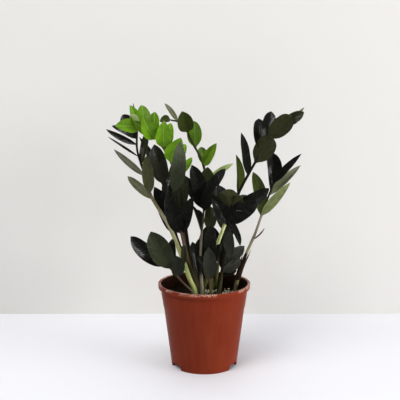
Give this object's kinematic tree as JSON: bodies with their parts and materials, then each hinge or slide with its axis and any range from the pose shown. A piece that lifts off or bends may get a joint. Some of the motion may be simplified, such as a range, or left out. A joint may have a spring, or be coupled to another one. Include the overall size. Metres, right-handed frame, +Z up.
{
  "type": "potted zz plant",
  "caption": "ZZ plant with arching fronds of glossy leaflets, standing in soil in a tapered plastic nursery pot with a rolled rim.",
  "frame": {"origin": "on the pot's axis, at the surface that the pot stands on", "axes": "+Z up along the pot's axis, -Y towards the viewer, +X to the viewer's right"},
  "size_m": [0.352, 0.2333, 0.488],
  "materials": {
    "pot_plastic": "satin",
    "potting_soil": "matte",
    "rhizome": "matte",
    "leaf_lime": "satin",
    "leaf_green": "satin",
    "leaf_grey_green": "satin",
    "leaf_dark": "satin",
    "leaf_olive": "satin",
    "dry_sheath": "matte"
  },
  "bodies": {
    "root": {"pot": "pot_plastic", "soil": "potting_soil", "rhizome_clump": "rhizome", "rhizome_front": "rhizome", "rhizome_back": "rhizome", "rhizome_right": "rhizome", "frond_left_pale": "leaf_dark", "frond_left_dark": "leaf_dark", "frond_lime": "leaf_lime", "frond_middle_left": "leaf_grey_green", "frond_green": "leaf_green", "frond_middle": "leaf_dark", "frond_middle_right": "leaf_dark", "frond_right_tall": "leaf_olive", "frond_right_outer": "leaf_dark", "frond_low_left": "leaf_grey_green", "frond_low_middle": "leaf_dark", "frond_low_back": "leaf_dark", "frond_low_right": "leaf_grey_green", "frond_back_left": "leaf_olive", "frond_back_right": "leaf_olive", "sheath_right": "dry_sheath"}
  },
  "joints": []
}
